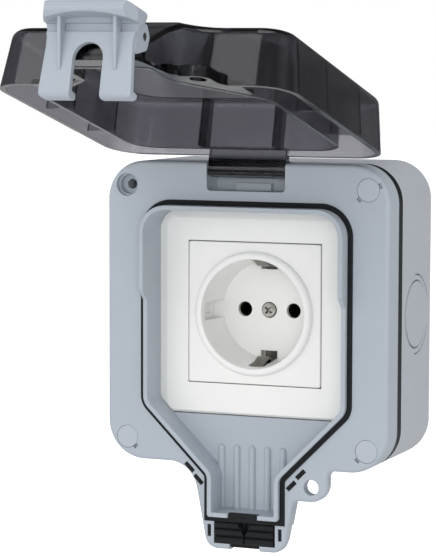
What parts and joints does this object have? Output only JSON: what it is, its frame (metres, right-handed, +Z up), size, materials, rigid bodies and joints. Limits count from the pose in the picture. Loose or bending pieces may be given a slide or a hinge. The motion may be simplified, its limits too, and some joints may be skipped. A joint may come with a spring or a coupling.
{
  "type": "weatherproof socket",
  "caption": "Surface-mounted outdoor earthed socket in a sealed box, with a hinged smoked lid, a latch clip, a plug chamber and a cable gland.",
  "frame": {"origin": "on the wall plane at the back of the box, behind the centre of the plug recess", "axes": "+X to the right of someone facing it, +Y into the wall, +Z up; the front faces -Y"},
  "size_m": [0.1076, 0.1861, 0.1947],
  "materials": {
    "box_plastic": "fine moulded satin",
    "cover_plastic": "fine moulded satin",
    "clip_plastic": "moulded satin",
    "white_plastic": "moulded gloss",
    "base_plastic": "moulded matte",
    "smoked_plastic": "smoked translucent gloss",
    "rubber": "moulded matte",
    "steel": "bright zinc plate",
    "earth_steel": "nickel plate",
    "contact_brass": "dulled rolled brass"
  },
  "bodies": {
    "housing": {"back_box": "box_plastic", "box_gasket": "rubber", "front_cover": "cover_plastic", "rim_gasket": "rubber", "gasket_anchors": "rubber", "cable_gland": "rubber", "lid_hinge_pin": "steel", "socket_frame": "white_plastic", "socket_faceplate": "white_plastic", "mounting_strap": "steel", "socket_base": "base_plastic", "contact_left": "contact_brass", "contact_right": "contact_brass", "earth_contact": "earth_steel", "cover_screws": "steel", "screw_caps": "cover_plastic", "strap_screws": "steel", "centre_screw": "steel", "terminal_screw_left": "steel", "terminal_screw_right": "steel", "earth_terminal_screw": "steel"},
    "lid": {"lid": "smoked_plastic", "latch_pin": "steel"},
    "latch": {"latch_clip": "clip_plastic"}
  },
  "joints": [
    {"name": "lid_hinge", "type": "hinge", "parent": "housing", "child": "lid", "pos_m": [0, -0.0485, 0.05266], "axis": [-1, 0, 0], "range_deg": [-104.6, 0]},
    {"name": "latch_hinge", "type": "hinge", "parent": "lid", "child": "latch", "pos_m": [0, -0.17406, 0.09849], "axis": [-1, 0, 0], "range_deg": [0, 45]}
  ]
}
